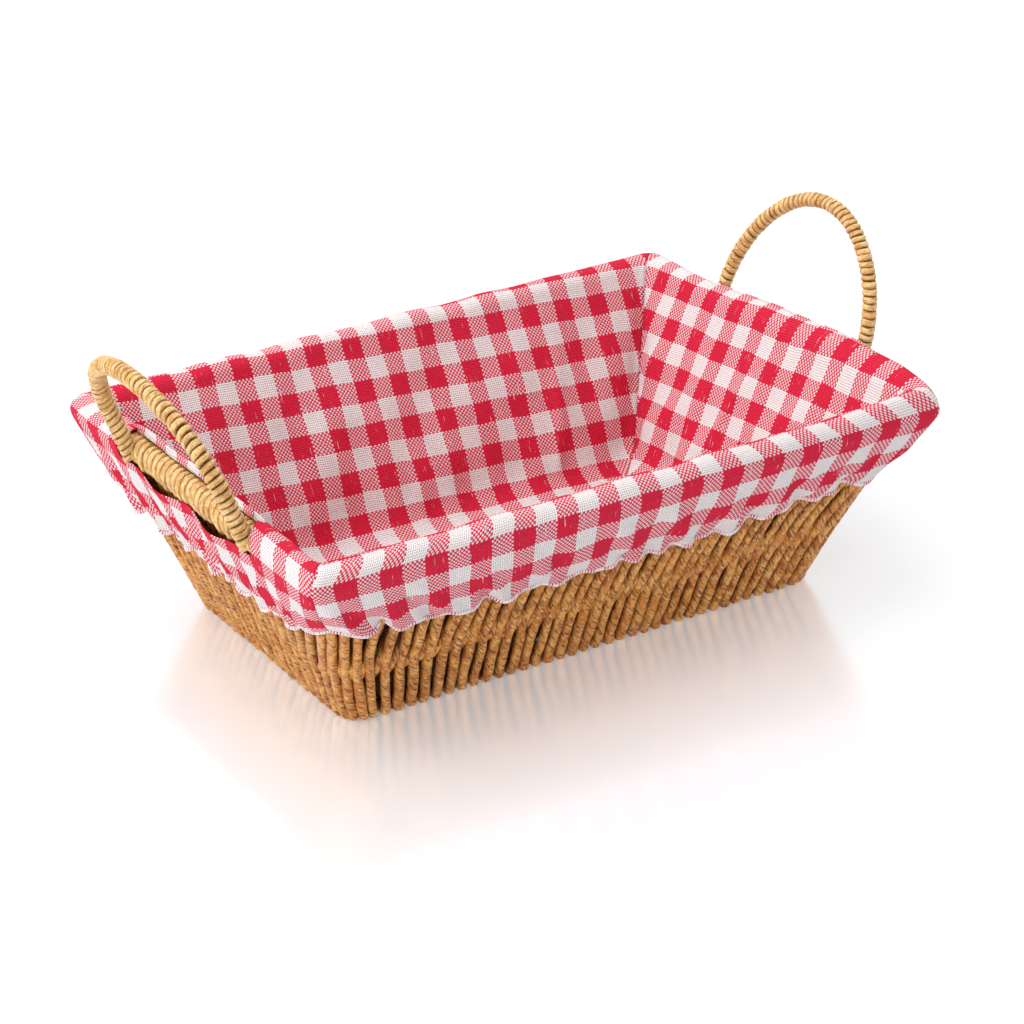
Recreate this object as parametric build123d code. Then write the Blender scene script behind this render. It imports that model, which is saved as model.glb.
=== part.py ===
from build123d import *
import math
import os

# Rectangular cord-wicker bread basket on a wire frame, with two wrapped bail handles and a cloth
# liner that hooks over the rim with an elastic hem. Millimetres, +Z up, +X along the long side,
# origin at the centre of the footprint on the table.

# Frame rings: height, half length, half width and corner radius of each ring's centreline.
BASE_RING = (5.5, 120.5, 68.0, 8.0)
LOWER_RING = (33.0, 130.0, 78.4, 9.0)
UPPER_RING = (63.0, 143.0, 93.2, 12.0)
RIM_RING = (92.0, 155.5, 107.5, 14.0)

base_wire_radius = 1.5
ring_wire_radius = 1.25
rim_wire_radius = 2.0
post_radius = 1.25
post_inset = 2.7          # posts stand against the inside of the rings
post_top = 85.0
floor_wire_radius = 1.25
floor_wire_rows = (-39.0, -13.0, 13.0, 39.0)

# Cord weave: a wall of cord either side of the rings, and a cord floor.
cord_outside = 4.0
cord_inside = 4.8
base_edge_round = 3.0
floor_cord_top = 9.5
wall_cord_top = 85.8
binding_radius = 6.0      # cord wound round the rim wire

# Bail handles: each is a wire arch wrapped in cord, welded to the outside of the rim.
# The two were bent by hand, so their arches differ a little.
handle_lean = 20.5        # degrees outward from upright
handle_foot_x = 160.4     # at the height of the rim wire
handle_foot_drop = 5.0    # the legs run on below the rim wire
handle_wire_radius = 2.0
handle_wrap_radius = 4.1
shoulder_turn = 60.0      # degrees turned by each shoulder arc, the crown turns the rest
LEFT_ARCH = {"side": -1, "half_width": 54.4, "leg": 22.5, "rise": 42.3}
RIGHT_ARCH = {"side": 1, "half_width": 54.2, "leg": 5.0, "rise": 59.5}

# Liner: cotton cloth that lies on the floor and walls, rolls over the rim and hangs as a skirt.
cloth = 1.0
cloth_gap = 0.4           # between the cloth and the cords
skirt_hem = 58.0
skirt_free_from = 70.0    # above this the cloth bridges from the cords to the rim
slit_half_width = 60.5    # the slit that the handle legs come out of
slit_low = 84.0
slit_inner_x = 155.0      # the slit's inner edge lies on top of the rim
slit_edge_thickness = 1.6
elastic_height = 4.0
elastic_thickness = 1.8

channel_gap = 0.1         # round a wire inside the cords
seam_gap = 0.05           # between two pieces that butt
far = 400.0

RINGS = (BASE_RING, LOWER_RING, UPPER_RING, RIM_RING)
SIDES = ("front", "back", "left", "right")


def wall(z):
    """Half length, half width and corner radius of the wall's centreline at height z."""
    low, high = RINGS[0], RINGS[1]
    for a, b in zip(RINGS[1:], RINGS[2:]):
        if z > a[0]:
            low, high = a, b
    t = (z - low[0]) / (high[0] - low[0])
    return [p + t * (q - p) for p, q in zip(low[1:], high[1:])]


def outline(z, shift):
    """Rounded rectangle at height z, moved outwards from the wall's centreline by shift."""
    half_x, half_y, radius = wall(z)
    face = RectangleRounded(2 * (half_x + shift), 2 * (half_y + shift), radius + shift)
    return Plane.XY.offset(z) * face


def funnel(levels, shift):
    """Solid under the wall's centreline moved by shift, ruled through the given heights."""
    return loft([outline(z, shift) for z in levels], ruled=True)


def shell(levels, outside, inside):
    return funnel(levels, outside) - funnel(levels, inside)


def ring_path(ring):
    z, half_x, half_y, radius = ring
    return (Plane.XY.offset(z) * RectangleRounded(2 * half_x, 2 * half_y, radius)).wire()


def ring_tube(ring, radius):
    """Round bar of the given radius, bent along a ring."""
    path = ring_path(ring)
    start = Plane(origin=path @ 0, z_dir=path % 0)
    return sweep(start * Circle(radius), path=path)


def rod(start, end, radius):
    start, end = Vector(*start), Vector(*end)
    return Plane(origin=start, z_dir=end - start) * Cylinder(
        radius, (end - start).length, align=(Align.CENTER, Align.CENTER, Align.MIN)
    )


def wedge(side):
    """Everything on one side of the basket, up to the mitres at its corners."""
    _, half_x, half_y, _ = UPPER_RING
    x, y = half_x - half_y, 0.0
    if side in ("front", "back"):
        points = [(-x, y), (x, y), (x + far, y - far), (-x - far, y - far)]
        turn = 0 if side == "front" else 180
    else:
        points = [(x, y), (x + far, y + far), (x + far, y - far)]
        turn = 0 if side == "right" else 180
    prism = extrude(make_face(Polyline(*points, close=True)), amount=far)
    return Rot(0, 0, turn) * prism


def handle_path(arch, foot):
    """Centreline of an arch: two legs, a shoulder arc at the top of each, and the crown arc."""
    turn = math.radians(shoulder_turn)
    width, rise = arch["half_width"], arch["rise"]
    # Both arcs together span the half width and the rise: two linear equations in two radii.
    a, b = 1 - math.cos(turn), math.cos(turn)
    c, d = math.sin(turn), 1 - math.sin(turn)
    shoulder = (width * d - b * rise) / (a * d - b * c)
    crown = (width - a * shoulder) / b
    lean = math.radians(handle_lean)
    side = arch["side"]
    plane = Plane(
        origin=(side * handle_foot_x, 0, RIM_RING[0]),
        x_dir=(0, side, 0),
        z_dir=(side * math.cos(lean), 0, -math.sin(lean)),
    )
    top = arch["leg"] + rise
    joint = (-crown * b, top - crown * d)
    start = (-width, arch["leg"])
    half = (1 - math.cos(turn / 2), math.sin(turn / 2))
    via = (-width + shoulder * half[0], arch["leg"] + shoulder * half[1])
    mirror = lambda p: (-p[0], p[1])
    curve = Curve() + [
        Line((-width, foot), start),
        ThreePointArc(start, via, joint),
        ThreePointArc(joint, (0, top), mirror(joint)),
        ThreePointArc(mirror(joint), mirror(via), mirror(start)),
        Line(mirror(start), (width, foot)),
    ]
    return Wire((plane * curve).edges())


def handle_bar(arch, radius, foot):
    path = handle_path(arch, foot)
    start = Plane(origin=path @ 0, z_dir=path % 0)
    return sweep(start * Circle(radius), path=path)


def posts(places):
    """Uprights that follow the wall from the base ring to the rim, on its inside."""
    made = []
    heights = (BASE_RING[0], LOWER_RING[0], post_top)
    for place in places:
        feet = [(*place(z), z) for z in heights]
        post = rod(feet[0], feet[1], post_radius) + rod(feet[1], feet[2], post_radius)
        made.append(post + Pos(*feet[1]) * Sphere(post_radius))
    return made


def corner_place(sign_x, sign_y):
    def place(z):
        half_x, half_y, radius = wall(z)
        reach = (radius - post_inset) * math.sqrt(0.5)
        return sign_x * (half_x - radius + reach), sign_y * (half_y - radius + reach)
    return place


def side_place(dir_x, dir_y):
    def place(z):
        half_x, half_y, _ = wall(z)
        return dir_x * (half_x - post_inset), dir_y * (half_y - post_inset)
    return place


def floor_wires(radius):
    z, half_x, _, _ = BASE_RING
    reach = half_x - base_wire_radius - 2 * channel_gap
    return [rod((-reach, y, z), (reach, y, z), radius) for y in floor_wire_rows]


def cut(solid, tools):
    for tool in tools:
        solid = solid - tool
    return solid


def on_side(solid, side):
    """The share of a ring on one side, without the crumbs between a corner post and the mitre."""
    share = solid & wedge(side)
    return share.solids().sort_by(SortBy.VOLUME)[-1]


def liner_shell():
    """Wall cloth inside the cords, the roll over the rim, and the skirt outside, as one ring."""
    inner = -(cord_inside + cloth_gap)
    z_floor = floor_cord_top + cloth_gap
    rim_z = RIM_RING[0]
    roll_low = binding_radius + cloth_gap
    levels = (z_floor, LOWER_RING[0], rim_z)
    wall_cloth = shell(levels, inner, inner - cloth)
    skirt_out = cord_outside + cloth_gap
    skirt = shell((skirt_hem, rim_z), skirt_out + cloth, skirt_out)
    solid_roll = ring_tube(RIM_RING, roll_low + cloth)
    hollow = ring_tube(RIM_RING, roll_low)
    open_side = shell((skirt_free_from, rim_z), skirt_out, inner)
    return (wall_cloth + skirt + solid_roll) - hollow - open_side


def slit_cutter(side):
    """Room for both handle legs: the top and outside of the roll between them."""
    box = Box(60, 2 * slit_half_width, far, align=(Align.MIN, Align.CENTER, Align.MIN))
    return Rot(0, 0, 0 if side > 0 else 180) * Pos(slit_inner_x, 0, slit_low) * box


def slit_edge(side):
    """Narrow bound edge that lies along the top of the rim between the legs."""
    low = RIM_RING[0] + binding_radius + cloth_gap
    edge = Box(
        slit_edge_thickness, 2 * slit_half_width - 1.0, 2 * slit_edge_thickness,
        align=(Align.MIN, Align.CENTER, Align.MIN),
    )
    return Pos(side * (slit_inner_x + seam_gap), 0, low) * (
        edge if side > 0 else Rot(0, 0, 180) * edge
    )


def elastic():
    outside = cord_outside + cloth_gap
    top = skirt_hem - seam_gap
    return shell((top - elastic_height, top), outside + elastic_thickness, outside)


def frame_nodes():
    """The welded wire frame: four rings, eight uprights and the floor wires."""
    rooms = [ring_tube(ring, radius + channel_gap) for ring, radius in (
        (BASE_RING, base_wire_radius),
        (LOWER_RING, ring_wire_radius),
        (UPPER_RING, ring_wire_radius),
    )]
    corners = posts([corner_place(x, y) for x in (-1, 1) for y in (-1, 1)])
    sides = posts([side_place(x, y) for x, y in ((1, 0), (-1, 0), (0, 1), (0, -1))])
    nodes = {
        "base_ring_wire": ring_tube(BASE_RING, base_wire_radius),
        "lower_ring_wire": ring_tube(LOWER_RING, ring_wire_radius),
        "upper_ring_wire": ring_tube(UPPER_RING, ring_wire_radius),
        "rim_wire": ring_tube(RIM_RING, rim_wire_radius),
        "corner_posts": Compound(children=[cut(post, rooms) for post in corners]),
        "side_posts": Compound(children=[cut(post, rooms) for post in sides]),
        "floor_wires": Compound(children=floor_wires(floor_wire_radius)),
    }
    return nodes, rooms, corners + sides


def handle_nodes():
    """Both bail handles, and the room that their legs take out of the rim binding."""
    nodes, leg_rooms = {}, []
    foot = -handle_foot_drop
    rim_room = ring_tube(RIM_RING, rim_wire_radius + channel_gap)
    for name, arch in (("left", LEFT_ARCH), ("right", RIGHT_ARCH)):
        wire_room = handle_bar(arch, handle_wire_radius + channel_gap, foot - 1)
        wrap = handle_bar(arch, handle_wrap_radius, foot)
        nodes[f"handle_wire_{name}"] = handle_bar(arch, handle_wire_radius, foot) - rim_room
        nodes[f"handle_wrap_{name}"] = cut(wrap, [wire_room, rim_room])
        leg_rooms.append(handle_bar(arch, handle_wrap_radius + channel_gap, foot - 1))
    return nodes, leg_rooms


def weave_nodes(rooms, post_rooms, leg_rooms):
    """Cord floor, lower and upper tier of cord wall on each side, and the rim binding."""
    floor_rooms = floor_wires(floor_wire_radius + channel_gap)
    foot = outline(0, cord_outside - base_edge_round)
    lower = loft([foot, outline(base_edge_round, cord_outside)], ruled=True)
    lower = lower + funnel((base_edge_round, LOWER_RING[0]), cord_outside)
    lower = lower - funnel((0, LOWER_RING[0]), -cord_inside)
    lower = cut(lower, [rooms[0], rooms[1], *post_rooms, *floor_rooms])
    upper = shell((LOWER_RING[0], wall_cord_top), cord_outside, -cord_inside)
    upper = cut(upper, [rooms[1], rooms[2], *post_rooms])
    rim_room = ring_tube(RIM_RING, rim_wire_radius + channel_gap)
    binding = cut(ring_tube(RIM_RING, binding_radius), [rim_room, *leg_rooms])
    floor = funnel((0, floor_cord_top), -(cord_inside + seam_gap))
    nodes = {"weave_floor": cut(floor, [*floor_rooms, *post_rooms, rooms[0]])}
    for side in SIDES:
        nodes[f"weave_lower_{side}"] = on_side(lower, side)
        nodes[f"weave_upper_{side}"] = on_side(upper, side)
        nodes[f"rim_binding_{side}"] = on_side(binding, side)
    return nodes


def liner_nodes():
    """Floor with both long walls in one cloth, two end panels, slit edges and the hem."""
    liner = cut(liner_shell(), [slit_cutter(1), slit_cutter(-1)])
    z_cloth = floor_cord_top + cloth_gap
    cloth_in = -(cord_inside + cloth_gap + cloth)
    floor = funnel((z_cloth, z_cloth + cloth), cloth_in)
    return {
        "liner_main": floor + on_side(liner, "front") + on_side(liner, "back"),
        "liner_left": on_side(liner, "left"),
        "liner_right": on_side(liner, "right"),
        "slit_edge_left": slit_edge(-1),
        "slit_edge_right": slit_edge(1),
        "hem_elastic": elastic(),
    }


def build():
    nodes, rooms, post_rooms = frame_nodes()
    handles, leg_rooms = handle_nodes()
    nodes.update(handles)
    nodes.update(weave_nodes(rooms, post_rooms, leg_rooms))
    nodes.update(liner_nodes())
    return nodes


os.makedirs("parts", exist_ok=True)
for name, shape in build().items():
    export_step(shape, f"parts/{name}.step")
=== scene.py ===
import math
import bpy
import numpy as np
from mathutils import Matrix, Vector


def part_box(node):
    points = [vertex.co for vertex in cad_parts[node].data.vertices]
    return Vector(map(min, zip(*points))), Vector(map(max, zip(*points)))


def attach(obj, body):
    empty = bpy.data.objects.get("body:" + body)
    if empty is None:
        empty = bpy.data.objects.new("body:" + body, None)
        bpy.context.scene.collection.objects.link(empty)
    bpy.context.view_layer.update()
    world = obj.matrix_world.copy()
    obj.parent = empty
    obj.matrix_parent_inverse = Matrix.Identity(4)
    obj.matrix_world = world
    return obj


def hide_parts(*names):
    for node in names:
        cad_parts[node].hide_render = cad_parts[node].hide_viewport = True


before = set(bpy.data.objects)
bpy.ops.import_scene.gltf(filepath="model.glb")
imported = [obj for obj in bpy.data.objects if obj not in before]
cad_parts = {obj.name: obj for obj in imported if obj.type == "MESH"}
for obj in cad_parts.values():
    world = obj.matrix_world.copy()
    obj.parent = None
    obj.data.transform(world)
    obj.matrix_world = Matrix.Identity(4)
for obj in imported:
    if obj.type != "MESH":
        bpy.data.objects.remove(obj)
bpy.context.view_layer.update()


# ---------------------------------------------------------------- wire frame
# The basket's skeleton: rings, uprights, floor wires and two handle arches of drawn steel wire,
# spot-welded and dipped in a brown lacquer that matches the cord. The CAD nodes are the pieces.

class Wire:
    """One shader value. Sums, products and comparisons of these add the Math nodes they need."""

    def __init__(self, tree, socket):
        self.tree = tree
        self.socket = socket

    def math(self, operation, *others):
        """Math node of one operation on this value and the others."""
        inputs = dict(enumerate([self, *others]))
        return self.tree.node("ShaderNodeMath", {"operation": operation}, inputs)[0]

    def __add__(self, other):
        return self.math("ADD", other)

    def __radd__(self, other):
        return self.math("ADD", other)

    def __sub__(self, other):
        return self.math("SUBTRACT", other)

    def __rsub__(self, other):
        return (self * -1) + other

    def __mul__(self, other):
        return self.math("MULTIPLY", other)

    def __rmul__(self, other):
        return self.math("MULTIPLY", other)

    def __truediv__(self, other):
        return self.math("DIVIDE", other)

    def __mod__(self, other):
        return self.math("FLOORED_MODULO", other)

    def __lt__(self, other):
        return self.math("LESS_THAN", other)

    def floor(self):
        """Whole part of the value."""
        return self.math("FLOOR")

    def sin(self):
        """Sine of the value in radians."""
        return self.math("SINE")

    def cos(self):
        """Cosine of the value in radians."""
        return self.math("COSINE")

    def size(self):
        """The value without its sign."""
        return self.math("ABSOLUTE")

    def step(self, low, high, start=0.0, end=1.0):
        """Rises smoothly from start to end as the value goes from low to high."""
        settings = {"interpolation_type": "SMOOTHSTEP", "clamp": True}
        inputs = {0: self, 1: low, 2: high, 3: start, 4: end}
        return self.tree.node("ShaderNodeMapRange", settings, inputs)[0]


class Finish:
    """A node material under construction, around one Principled BSDF."""

    def __init__(self, name):
        self.material = bpy.data.materials.new(name)
        self.material.use_nodes = True
        self.nodes = self.material.node_tree.nodes
        self.links = self.material.node_tree.links
        self.shader = self.nodes["Principled BSDF"]

    def put(self, socket, value):
        """Links a Wire to a socket, or sets the socket's own value; colours get an alpha of 1."""
        if isinstance(value, Wire):
            self.links.new(value.socket, socket)
        elif isinstance(value, (tuple, list)) and len(socket.default_value) == 4:
            socket.default_value = (*value[:3], 1.0)
        else:
            socket.default_value = value

    def node(self, kind, settings=None, inputs=None):
        """Adds a node: its settings first, then its sockets. Returns its outputs."""
        made = self.nodes.new(kind)
        for key, value in (settings or {}).items():
            setattr(made, key, value)
        for key, value in (inputs or {}).items():
            self.put(made.inputs[key], value)
        return [Wire(self, s) for s in made.outputs]

    def noise(self, place, scale, detail=2.0, roughness=0.5):
        """Noise at a place, about 0.5 on average."""
        return self.node("ShaderNodeTexNoise", {}, {
            "Vector": place, "Scale": scale, "Detail": detail, "Roughness": roughness})[0]

    def mix(self, share, low, high):
        """Colour between low and high: low * (1 - share) + high * share."""
        return self.node("ShaderNodeMix", {"data_type": "RGBA"}, {0: share, 6: low, 7: high})[2]

    def vector(self, x, y, z):
        """Vector of three values."""
        return self.node("ShaderNodeCombineXYZ", {}, {0: x, 1: y, 2: z})[0]

    def split(self, place):
        """The three values of a vector."""
        return self.node("ShaderNodeSeparateXYZ", {}, {0: place})

    def object_place(self):
        """Place in the piece's own coordinates, in metres."""
        return self.node("ShaderNodeTexCoord")[3]

    def uv(self):
        """Place on the piece's surface, from its UV map."""
        return self.split(self.node("ShaderNodeTexCoord")[2])

    def set(self, **values):
        """Puts values on the shader's sockets: base_color stands for Base Color, and so on."""
        for key, value in values.items():
            self.put(self.shader.inputs[key.replace("_", " ").title().replace("Ior", "IOR")], value)

    def bump(self, height, strength, distance):
        """Tilts the surface as a relief of this height would, distance in metres at full height."""
        made = self.node("ShaderNodeBump", {}, {
            "Height": height, "Strength": strength, "Distance": distance})[0]
        self.put(self.shader.inputs["Normal"], made)


def lacquered_wire():
    """Brown lacquer over steel: mottled tone, rubbed paler spots and a slightly pitted gloss."""
    f = Finish("lacquered_wire")
    place = f.object_place()
    cloud = f.noise(place, 90.0, 3.0)
    grit = f.noise(place, 900.0, 2.0)
    worn = f.noise(place, 260.0, 3.0).step(0.58, 0.7)
    tone = f.mix(cloud, (0.055, 0.026, 0.012), (0.15, 0.075, 0.032))
    f.set(base_color=f.mix(worn * 0.6, tone, (0.24, 0.14, 0.075)),
          roughness=cloud * 0.25 + 0.28, metallic=0.35)
    f.bump(grit + cloud, 0.25, 0.0002)
    return f.material


def finish_node(name, material):
    """Gives a CAD node its material and leaves its shape alone."""
    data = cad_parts[name].data
    for i in range(max(1, len(data.materials))):
        if len(data.materials) <= i:
            data.materials.append(material)
        data.materials[i] = material


wire_lacquer = lacquered_wire()
for wire_node in ("base_ring_wire", "lower_ring_wire", "upper_ring_wire", "rim_wire", "corner_posts",
                  "side_posts", "floor_wires", "handle_wire_left", "handle_wire_right"):
    finish_node(wire_node, wire_lacquer)


# ---------------------------------------------------------------- wall cords
# One long twisted cord of plant fibre, about 4.7 mm thick. It goes up outside the rings as an
# upright, over at the rim, down inside, out across the lower ring between two uprights as a
# slanting stitch, in again, and under the base ring to the next upright.

MM = 0.001
cord_radius = 2.35
cord_twist = 13.0                           # length of one full twist of its strands
cord_sides = 9                              # points round the cord's section
wall_lean = math.radians(20.0)
bend_radii = (8.0, 9.0, 12.0, 14.0)         # of the rings at their corners, from the base up
side_names = ("front", "right", "back", "left")
upright_counts = {"front": 35, "right": 18, "back": 35, "left": 18}
corner_uprights = 4                         # at each corner, shared by the two sides it joins
corner_share = 0.6                          # how much of the flare the corners take up


def ring_line(name):
    """Height, half length and half width of a ring wire's centreline, in millimetres."""
    low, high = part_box(name)
    radius = (high.z - low.z) / 2
    return ((low.z + high.z) / 2 / MM, (high.x - radius) / MM, (high.y - radius) / MM)


ring_lines = np.array([ring_line(n) for n in
                       ("base_ring_wire", "lower_ring_wire", "upper_ring_wire", "rim_wire")])


def wall_sizes(h):
    """Half length, half width and corner radius of the wall's centreline at height h: straight
    between the rings, and constant below the first and above the last."""
    z = ring_lines[:, 0]
    return (np.interp(h, z, ring_lines[:, 1]), np.interp(h, z, ring_lines[:, 2]),
            np.interp(h, z, bend_radii))


# The cord's turns are counted round the basket: how many on a side, the number at which each side
# starts, and how many in all.
side_turns = np.array([upright_counts[s] + corner_uprights for s in side_names], float)
side_starts = np.concatenate([[0], np.cumsum(side_turns)])
all_turns = int(side_starts[-1])


def round_corner(along, half, radius):
    """Point on a side and its outward direction. along is arc length from the side's middle, half
    the half lengths (along, across) of the rectangle: straight to the corner, then an arc."""
    straight = half[0] - radius
    angle = np.clip((np.abs(along) - straight) / radius, 0, math.pi / 4)
    s = np.sign(along) * (np.minimum(np.abs(along), straight) + radius * np.sin(angle))
    m = half[1] - radius + radius * np.cos(angle)
    return s, m, np.sign(along) * np.sin(angle), np.cos(angle)


def turn_side(k, s, m):
    """Puts (along, outward) coordinates of side k into plan: front, right, back, left."""
    x = np.choose(k, [s, m, -s, -m])
    y = np.choose(k, [-m, s, m, -s])
    return x, y


def on_wall(turn, h, out):
    """Point at a number of uprights round the wall, at height h, and out from the centreline along
    the wall's normal. Uprights keep an even pitch, and most of the flare goes to the corners:
    a straight side's place t is stretched by (1 - share) t + share t^5 of its growth."""
    turn = np.mod(turn, all_turns)
    k = np.clip(np.searchsorted(side_starts, turn, side="right") - 1, 0, 3)
    n = side_turns[k] - corner_uprights
    length, width, radius = wall_sizes(h)
    base_l, base_w, base_r = wall_sizes(np.zeros_like(h))
    ends = k % 2 == 1
    half = (np.where(ends, width, length), np.where(ends, length, width))
    straight = half[0] - radius
    base = np.where(ends, base_w, base_l) - base_r
    q = turn - side_starts[k] - side_turns[k] / 2
    t = np.clip(q / (n / 2), -1, 1)
    flat = base * t + (straight - base) * ((1 - corner_share) * t + corner_share * t ** 5)
    past = np.sign(q) * np.maximum(np.abs(q) - n / 2, 0) / (corner_uprights / 2)
    along = flat + past * radius * math.pi / 4
    s, m, ns, nm = round_corner(along, half, radius)
    x, y = turn_side(k, s, m)
    nx, ny = turn_side(k, ns, nm)
    normal = np.stack([nx * math.cos(wall_lean), ny * math.cos(wall_lean),
                       np.full_like(nx, -math.sin(wall_lean))], -1)
    side = np.stack([-ny, nx, np.zeros_like(nx)], -1)
    point = np.stack([x, y, np.broadcast_to(h, x.shape)], -1)
    return point + out[..., None] * normal, side


def through(knots, steps):
    """Smooth curve through rows of knots, sampled steps times a span: cubics whose slope at a knot
    is half the way from the knot before it to the knot after."""
    before = np.concatenate([[2 * knots[0] - knots[1]], knots[:-1]])
    after = np.concatenate([knots[1:], [2 * knots[-1] - knots[-2]]])
    slope = (after - before) / 2
    t = (np.arange(steps) / steps)[None, :, None]
    p, q = knots[:-1, None], knots[1:, None]
    a, b = slope[:-1, None], slope[1:, None]
    curve = (p * (2 * t**3 - 3 * t**2 + 1) + q * (3 * t**2 - 2 * t**3)
             + a * (t**3 - 2 * t**2 + t) + b * (t**3 - t**2))
    return np.concatenate([curve.reshape(-1, knots.shape[1]), knots[-1:]])


def unit(v):
    """Vectors over their lengths."""
    return v / np.maximum(np.linalg.norm(v, axis=-1, keepdims=True), 1e-12)


def tube(line, side, wide, thick, around, twist=0.0, lobes=0.0, start=0.0):
    """Bar along a line. side is a direction across it, wide and thick its half sizes along side and
    across both. The section is an ellipse whose radius swells by lobes at two opposite strands
    that turn once every twist millimetres. Returns points, quads, and each corner's place:
    share of the way round, and length along."""
    ahead = unit(np.gradient(line, axis=0))
    side = unit(side - ahead * (side * ahead).sum(-1, keepdims=True))
    up = np.cross(ahead, side)
    run = start + np.concatenate([[0], np.cumsum(np.linalg.norm(np.diff(line, axis=0), axis=1))])
    angle = np.arange(around) * 2 * math.pi / around
    turn = run * 2 * math.pi / twist if twist else 0 * run
    swell = 1 + lobes * np.cos(2 * (angle[None] - turn[:, None]))
    wide = np.broadcast_to(wide, run.shape)[:, None] * swell
    thick = np.broadcast_to(thick, run.shape)[:, None] * swell
    points = (line[:, None] + side[:, None] * (wide * np.cos(angle))[..., None]
              + up[:, None] * (thick * np.sin(angle))[..., None]).reshape(-1, 3)
    n = len(line)
    i, j = np.indices((n - 1, around)).reshape(2, -1)
    j2 = (j + 1) % around
    quads = np.stack([i * around + j, i * around + j2, (i + 1) * around + j2, (i + 1) * around + j], -1)
    u = np.stack([j, j + 1, j + 1, j], -1) / around
    v = np.stack([run[i], run[i], run[i + 1], run[i + 1]], -1)
    return points, quads, np.stack([u, v], -1)


def close_ends(points, quads, places, around, n):
    """Adds a middle point at both ends of a tube, the mean of the end ring, and a ring of triangles
    to each."""
    first = points[:around].mean(0)
    last = points[-around:].mean(0)
    total = len(points)
    j = np.arange(around)
    j2 = (j + 1) % around
    head = np.stack([j2, j, np.full(around, total)], -1)
    tail = np.stack([(n - 1) * around + j, (n - 1) * around + j2, np.full(around, total + 1)], -1)
    faces = quads.tolist() + head.tolist() + tail.tolist()
    corners = np.concatenate([places.reshape(-1, 2), np.tile(places[0, 0], (3 * around, 1)),
                              np.tile(places[-1, 2], (3 * around, 1))])
    return np.concatenate([points, first[None], last[None]]), faces, corners


def closed_tube(line, side, wide, thick, around, **turning):
    """Tube with both ends closed: points, faces and each face corner's place."""
    points, quads, places = tube(line, side, wide, thick, around, **turning)
    return close_ends(points, quads, places, around, len(line))


def make_piece(name, points, faces, corners, material, recess_shade=None):
    """Mesh from points in millimetres, with a UV map that holds each corner's place. The last argument
    is each point's depth among its neighbours, from 0 to 1, which the cord's shader turns into painted
    shade."""
    data = bpy.data.meshes.new(name)
    data.from_pydata((points * MM).tolist(), [], [tuple(f) for f in faces])
    layer = data.uv_layers.new(name="place")
    layer.data.foreach_set("uv", np.asarray(corners, np.float32).ravel())
    data.polygons.foreach_set("use_smooth", np.ones(len(data.polygons), bool))
    data.materials.append(material)
    if recess_shade is not None:
        depth = data.attributes.new("recess_shade", "FLOAT", "POINT")
        depth.data.foreach_set("value", np.asarray(recess_shade, np.float32))
    data.validate()
    data.update()
    piece = bpy.data.objects.new(name, data)
    bpy.context.scene.collection.objects.link(piece)
    return piece


def join_parts(parts):
    """Several (points, faces, corners) as one."""
    points, faces, corners, offset = [], [], [], 0
    for p, f, c in parts:
        points.append(p)
        corners.append(np.asarray(c).reshape(-1, 2))
        faces.extend([tuple(i + offset for i in face) for face in f])
        offset += len(p)
    return np.concatenate(points), faces, np.concatenate(corners)


def twisted_cord(name, dark, mid, pale, twist, edge=0.0, fleck=0.6, pits=0.7):
    """Twisted fibre cord. The strand line is the share round plus the length over the twist, so
    fibres wind along the cord. Short dark pits and pale flecks follow the strands. edge paints
    shade on the two thin sides, in the crevice where a flat cord meets the next turn, and points
    that lie deep in the wall get painted shade from their depth attribute."""
    f = Finish(name)
    u, v, _ = f.uv()
    around = u * (2 * math.pi)
    angle = around + v * (2 * math.pi / twist)
    fibre_place = f.vector(angle.cos() * 1.6, angle.sin() * 1.6, v * 0.24)
    pit_place = f.vector(angle.cos() * 1.3, angle.sin() * 1.3, v * 0.34)
    fleck_place = f.vector(angle.cos() * 1.3, v * 0.36, angle.sin() * 1.3)
    fibre = f.noise(fibre_place, 2.2, 4.0, 0.65)
    cloud = f.noise(f.object_place(), 150.0, 3.0, 0.6)
    pit = f.noise(pit_place, 1.15, 2.0).step(0.53, 0.62)
    pale_fleck = f.noise(fleck_place, 1.3, 3.0, 0.6).step(0.55, 0.63)
    dark_speck = f.noise(f.object_place(), 620.0, 2.0).step(0.56, 0.70)
    # Painted shade: edge darkens the thin sides of a flat cord, in the crevice between one turn and the
    # next.
    side = around.cos().size().step(0.55, 1.0) * edge
    # Painted shade: the cord is darkened where it lies deep in the wall, behind and between the
    # uprights.
    recess_shade = f.node("ShaderNodeAttribute", {"attribute_name": "recess_shade"})[2]
    dim = [d * 0.6 + m * 0.4 for d, m in zip(dark, mid)]
    straw = [0.5 * p + 0.5 * t for p, t in zip(pale, (0.98, 0.78, 0.46))]
    tone = f.mix(fibre.step(0.32, 0.66), dim, mid)
    tone = f.mix(cloud.step(0.38, 0.64) * 0.5, tone, pale)
    tone = f.mix(pit * pits, tone, dark)
    tone = f.mix(pale_fleck * fleck, tone, straw)
    tone = f.mix(dark_speck * 0.2, tone, dark)
    tone = f.mix(side, tone, [d * 0.5 for d in dark])
    tone = f.mix(recess_shade * 0.85, tone, [d * 0.45 for d in dark])
    f.set(base_color=tone, roughness=0.50 - fibre * 0.22, specular_ior_level=0.4)
    f.bump(fibre * 0.6 + cloud * 0.3 + pale_fleck * 0.3 - pit * 0.6, 0.8, 0.0006)
    return f.material


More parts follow.
